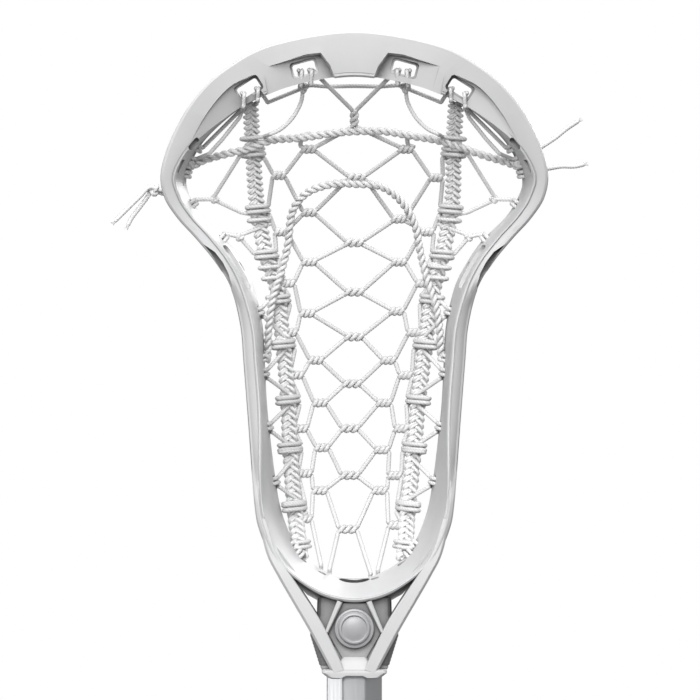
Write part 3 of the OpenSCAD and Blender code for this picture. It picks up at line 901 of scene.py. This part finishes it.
def make_net():
    """The cords of the net, each from the scoop's windows or a runner down to the cup."""
    shape = Shape()
    for side in (-1, 1):
        window = scoop_loop(side * 19.5, 272.8, 279.4, -11.4, -3.6, side * 1.2)[::-1]
        net_cord(shape, [window], 3, 0, -side)
        net_cord(shape, [], 0 if side < 0 else 6, 0, -side)
        hang = [on_pocket(side * 21, 251, -1.6), on_pocket(side * 24, 250, 2.4), on_pocket(side * 25, 246, 0)]
        net_cord(shape, [on_pocket(side * 30, 249, -1.5), np.array(hang)], 2 if side < 0 else 4, 0, -side)
    shape.build("net_cords", CORD, "cord", "pocket_mesh")


def make_runners():
    """Each runner is a flat braid of three paired cords."""
    step = 0.7
    for side, node in ((-1, "left_runner"), (1, "right_runner")):
        line = even(catmull([on_pocket(x, z) for x, z in RUNNERS[side]], 8), step)
        along = np.arange(len(line)) * step
        tangent = unit(np.gradient(line, axis=0))
        across = unit(np.cross(tangent, [0, -1, 0]))
        front = unit(np.cross(across, tangent))
        shape = Shape()
        for ply in range(3):
            for pair in (-0.17, 0.17):
                t = 2 * pi * (along / 9.5 + ply / 3) + pair * 1.4
                offset = ((2.75 * np.sin(t) + pair * 2.2)[:, None] * across
                          + (1.15 * np.sin(2 * t))[:, None] * front)
                rope(shape, line + offset, 0.86, sides=8, step=0.6, pitch=2.6, depth=0.26)
        shape.build(node + "_braid", WOVEN, "woven", node)


def string_lift(x, z):
    """How far a shooting string stands off the pocket: over the net, and more over the runners."""
    return 2.9 + 1.5 * exp(-((abs(x) - abs(runner_x(1, z))) / 5) ** 2)


def make_shooting_strings():
    """The straight and the arched string, each of two cords twisted together and tied to the rails."""
    shape = Shape()
    line = np.array([on_pocket(x, z, string_lift(x, z) * min(1, (79 - abs(x)) / 12))
                     for x, z in STRAIGHT[1:-1]])
    line = np.vstack([rail_loop(-78, 236, 1)[::-1][-6:], line, rail_loop(78, 236, 1)[:6]])
    twisted(shape, catmull(line, 6), 1.05, lay=7.0, pitch=2.6)
    for side in (-1, 1):
        lace(shape, rail_loop(side * 78, 236, 2.0))
        lace(shape, rail_loop(side * 79.5, 232, 1.5))
    shape.build("straight_shooting_cords", LACE, "cord", "straight_shooting_string")
    shape = Shape()
    line = np.array([on_pocket(x, z, string_lift(x, z)) for x, z in ARCH[1:-1]])
    line = np.vstack([rail_loop(-44, 146, 0.5, 1)[:7][::-1][-3:], line, rail_loop(44, 146, 0.5, 1)[:3]])
    twisted(shape, catmull(line, 6), 1.05, lay=6.6, pitch=2.6)
    for side in (-1, 1):
        lace(shape, rail_loop(side * 43, 146, 1.6))
    shape.build("arched_shooting_cords", LACE, "cord", "arched_shooting_string")


def make_laces():
    """The wing laces and side wall laces, tied to the wall's holes and to the runners."""
    for side, name in ((-1, "left"), (1, "right")):
        shape = Shape()
        lace(shape, on_pocket(side * 50, 244, 1.5), on_pocket(side * 53, 241, 2.6),
             on_pocket(side * 66, 221, 0.5), on_pocket(side * 53, 215, 1.0), runner_wrap(side, 211, 1),
             on_pocket(side * 54, 204, 0.8), on_pocket(side * 47, 196, 1.0), runner_wrap(side, 189, 1))
        for x, z, wall_x, wall_z in ((66, 221, 75, 219), (54.5, 203.5, 61, 203)):
            lace(shape, on_pocket(side * (x - 1.5), z, 1.4), rail_loop(side * wall_x, wall_z, 1.4))
            knot(shape, on_pocket(side * (x - 1), z, 1.0), 0.5, 0.9, side * 0.5)
        shape.build(name + "_wing_cords", LACE, "cord", name + "_wing_lace")
        shape = Shape()
        pieces = [runner_wrap(side, 184, 1)]
        for x, z, wrap in ((42, 169, 154), (41.5, 140, 128), (40.5, 115, 103), (38, 90, 79)):
            pieces += [rail_loop(side * x, z, 2), runner_wrap(side, wrap, 1)[::-1]]
        lace(shape, *pieces)
        shape.build(name + "_side_cords", LACE, "cord", name + "_sidewall_lace")


def make_top_lace():
    """The lace along the scoop, its ties through the windows and its two pairs down to the side walls."""
    shape = Shape()
    for side in (-1, 1):
        tie = scoop_loop(side * 24.0, 272.2, 279.2, -11.2, -3.4, side * 1.6)
        outer = scoop_loop(side * 44, 265.4, 271.0, -10.6, 2.6, side * 1.2)
        far = scoop_loop(side * 50.5, 262.4, 268.8, -10.6, 4.4, side * 1.2)
        lace(shape, tie[::-1], (side * 24, -1, 272), (side * 26, 0, 270.6), (side * 33, 0.6, 267.8),
             (side * 40, 2.4, 265), outer)
        drape = [(side * 23.6, -2, 271.6), (side * 24.6, 0, 265), (side * 28.4, 1, 258),
                 (side * 33.5, 2, 253.0), (side * 38.5, 2.5, 250.4)]
        lace(shape, catmull(drape, 6), runner_wrap(side, 248.5, 1))
        lace(shape, far[::-1], (side * 52.5, 3, 261.5), rail_loop(side * 73, 245, 1.5))
        lace(shape, (side * 51, 4.2, 263), (side * 53, 3.6, 258), (side * 61, 4.8, 248),
             (side * 67, 7, 241.5), rail_loop(side * 77, 238.5, 1.5))
        knot(shape, (side * 23.5, -2.6, 271.6), 0.62, 1.0)
    lace(shape, (-24, -2, 272), (-20, -0.5, 272.8), (-12, 0.3, 272.2), (0, 0.6, 272.5), (12, 0.3, 272.2),
         (20, -0.5, 272.8), (24, -2, 272))
    shape.build("top_cords", LACE, "cord", "top_lace")


def make_throat_laces():
    """Where the runners end: a cord around the end of each braid and through a hole in the cup."""
    shape = Shape()
    for side in (-1, 1):
        end = on_pocket(runner_x(side, 56), 56, 0)
        lace(shape, runner_wrap(side, 60, 1.5), end + [0, 2, -2], rail_loop(side * 24.5, 56, 1.5))
        lace(shape, end + [side * 1.5, -2.5, 1], rail_loop(side * 29, 60, 1.2))
    shape.build("throat_cords", LACE, "cord", "throat_laces")


def make_tail_knot():
    shape = Shape()
    knot(shape, (-93.2, 13.8, 225.2), 0.85, 1.1, 0.4)
    shape.build("tail_knot", LACE, "cord", "left_tail_knot")


make_net()
make_runners()
make_shooting_strings()
make_laces()
make_top_lace()
make_throat_laces()
make_tail_knot()


# ---- badge, shaft, cap, screw and pad
def turned(shape, profile, centre, sides=96):
    """A turned shape around the y axis, from (radius, y) points, capped at both ends."""
    a = np.arange(sides) / sides * 2 * pi
    rings = [np.stack([centre[0] + r * np.cos(a), np.full(sides, y), centre[1] + r * np.sin(a)], 1)
             for r, y in profile]
    shape.rings(rings)


def make_badge():
    """The round badge: a stepped rim, a raised ring and a plain dome."""
    shape = Shape()
    turned(shape, [(9.0, -13.0), (9.0, -15.6), (8.85, -15.9), (8.5, -16.05), (8.1, -16.05), (7.9, -15.85),
                   (7.6, -15.85), (7.45, -16.1), (7.2, -16.7), (6.95, -17.15), (6.6, -17.3), (6.2, -17.3),
                   (5.95, -17.15), (5.8, -16.75), (5.65, -16.55), (5.2, -16.6), (4.0, -16.95), (2.4, -17.2),
                   (1.0, -17.28), (0.3, -17.3)], (0, 23))
    shape.build("badge_disc", BADGE, "badge", "throat_badge", angle=30)


def octagon_ring(flats, rounding, z, n=4):
    """An octagon with rounded corners at a height, in the frame's metres."""
    points = []
    inset = flats / 2 - rounding
    corner = inset / cos(pi / 8)
    for k in range(8):
        middle = radians(22.5 + 45 * k)
        cx, cy = corner * cos(middle), corner * sin(middle)
        for i in range(n + 1):
            a = middle + radians(-22.5 + 45 * i / n)
            points.append((cx + rounding * cos(a), cy + rounding * sin(a), z))
    return points


def make_shaft():
    """The drawn octagonal tube with rounded corners, open at both ends."""
    flats = SHAFT_HIGH.x - SHAFT_LOW.x
    low, high = SHAFT_LOW.z, SHAFT_HIGH.z
    edge = 0.0006
    rings = [octagon_ring(flats - 2 * edge, 0.0021, low)]
    rings += [octagon_ring(flats, 0.0021, z) for z in
              [low + edge] + [low + (high - low) * t for t in np.linspace(0, 1, 14)[1:-1]] + [high - edge]]
    rings.append(octagon_ring(flats - 2 * edge, 0.0021, high))
    rings += [octagon_ring(flats - 0.0026, 0.0012, z) for z in (high, low)]
    tube = skin(rings, closed=True)
    tube.build("shaft_octagon", ALLOY, "alloy", "shaft_tube", angle=25, to_frame=lambda p: p)


def make_end_cap():
    """The rubber cup over the shaft's lower end: ribbed sides, a rolled lip and a cushioned base."""
    low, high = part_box("end_cap")
    wide = high.x - low.x
    inside = SHAFT_HIGH.x - SHAFT_LOW.x + 0.0005
    floor_z = SHAFT_LOW.z - 0.0001
    ribs, steps = 9, 40
    rows = [(wide - 0.007, 0.003, low.z), (wide - 0.0022, 0.0035, low.z + 0.0003),
            (wide - 0.0006, 0.004, low.z + 0.0013)]
    for i in range(steps + 1):
        t = i / steps
        rib = 0.0011 * (0.5 - 0.5 * cos(2 * pi * ribs * t))
        rows.append((wide - rib, 0.004, low.z + 0.0025 + (high.z - low.z - 0.0060) * t))
    rows += [(wide, 0.004, high.z - 0.0022), (wide - 0.0004, 0.004, high.z - 0.0006),
             (wide - 0.0014, 0.0035, high.z), (inside + 0.0008, 0.0026, high.z),
             (inside, 0.0022, high.z - 0.0006), (inside, 0.0022, floor_z)]
    cap = skin([octagon_ring(*row) for row in rows])
    cap.build("rubber_cap", RUBBER, "rubber", "end_cap", body="cap", angle=40, to_frame=lambda p: p)


def make_pad():
    """The thin foam pad at the rear edge of the cup's floor, round at the front."""
    rings = []
    for turn in np.linspace(0.12, pi / 2, 24):
        y = 25.3 - 7.3 * cos(turn)                       # from the round front to the straight rear
        half = 7.9 * sin(turn)
        middle = 37.5 + 6.7 * (y + 16) / 42 - 0.3        # the cup's floor
        upper = []
        lower = []
        for a in np.linspace(-1, 1, 21):
            here = middle + 0.017 * (half * a) ** 2      # it rises to both sides
            upper.append((half * a, y, here + 0.1 + 0.6 * (1 - a ** 4) * sin(turn) ** 0.5))
            lower.insert(0, (half * a, y, here - 0.9 + 0.5 * a * a))
        rings.append(upper + lower)
    skin(rings).build("foam_pad", FOAM, "foam", "ball_stop_pad", angle=50)


make_badge()
make_shaft()
make_end_cap()
make_pad()

# The screw keeps its CAD mesh: a small bevel and a turned finish.
screw = bpy.data.objects["fixing_screw"]
bevel = screw.modifiers.new("edges", "BEVEL")
bevel.width = 0.0003
bevel.segments = 2
screw.data.materials.clear()
screw.data.materials.append(STEEL)

# ---- stage and lights
FLOOR_HALF, FLOOR_Z = 14, -0.06
floor_mesh = bpy.data.meshes.new("floor")
corners = ((-1, -1), (1, -1), (1, 1), (-1, 1))
floor_mesh.from_pydata([(x * FLOOR_HALF, y * FLOOR_HALF, FLOOR_Z) for x, y in corners], [], [(0, 1, 2, 3)])
floor = new_object("floor", floor_mesh)
floor.data.materials.append(new_material("pale floor", (0.9, 0.9, 0.9), 0.9)[0])
floor.visible_diffuse = False
floor.visible_glossy = False

world = bpy.data.worlds.new("studio")
bpy.context.scene.world = world
world.use_nodes = True
sky = world.node_tree
# the camera sees white, and what lights the object is darker towards the ground
direction = add_node(sky, "TexCoord").outputs["Generated"]
height = add_node(sky, "SeparateXYZ", {0: direction}).outputs["Z"]
strength = to_range(sky, height, 0.16, 0.56, -0.7, 0.6)
lighting = add_node(sky, "Background", {"Color": (1, 1, 1, 1), "Strength": strength}).outputs[0]
seen = add_node(sky, "Background", {"Color": (1, 1, 1, 1), "Strength": 1.0}).outputs[0]
by_camera = add_node(sky, "LightPath").outputs["Is Camera Ray"]
choose = add_node(sky, "MixShader", {0: by_camera, 1: lighting, 2: seen})
sky.links.new(choose.outputs[0], sky.nodes["World Output"].inputs["Surface"])


def soft_light(name, place_at, aim, size, watts):
    """A rectangular light that is turned to what it lights."""
    data = bpy.data.lights.new(name, "AREA")
    data.shape = "RECTANGLE"
    data.size, data.size_y = size
    data.energy = watts
    lamp = new_object(name, data)
    lamp.location = place_at
    way = (np.array(aim) - np.array(place_at)).tolist()
    lamp.rotation_euler = Vector(way).to_track_quat("-Z", "Y").to_euler()


AIM = (0, 0, HEAD_Z + 0.15)
soft_light("key", (-0.3, -1.7, HEAD_Z + 1.8), AIM, (1.2, 0.9), 35)
soft_light("front", (-0.3, -2.2, HEAD_Z + 0.9), AIM, (1.2, 0.6), 25)
soft_light("top", (0.0, -0.1, HEAD_Z + 2.0), AIM, (1.0, 0.8), 16)
soft_light("left", (-2.1, 0.0, HEAD_Z - 0.2), (0, 0, HEAD_Z - 0.2), (0.8, 0.3), 4.2)
soft_light("back", (0.9, 2.2, HEAD_Z + 0.9), AIM, (1.4, 1.2), 24)
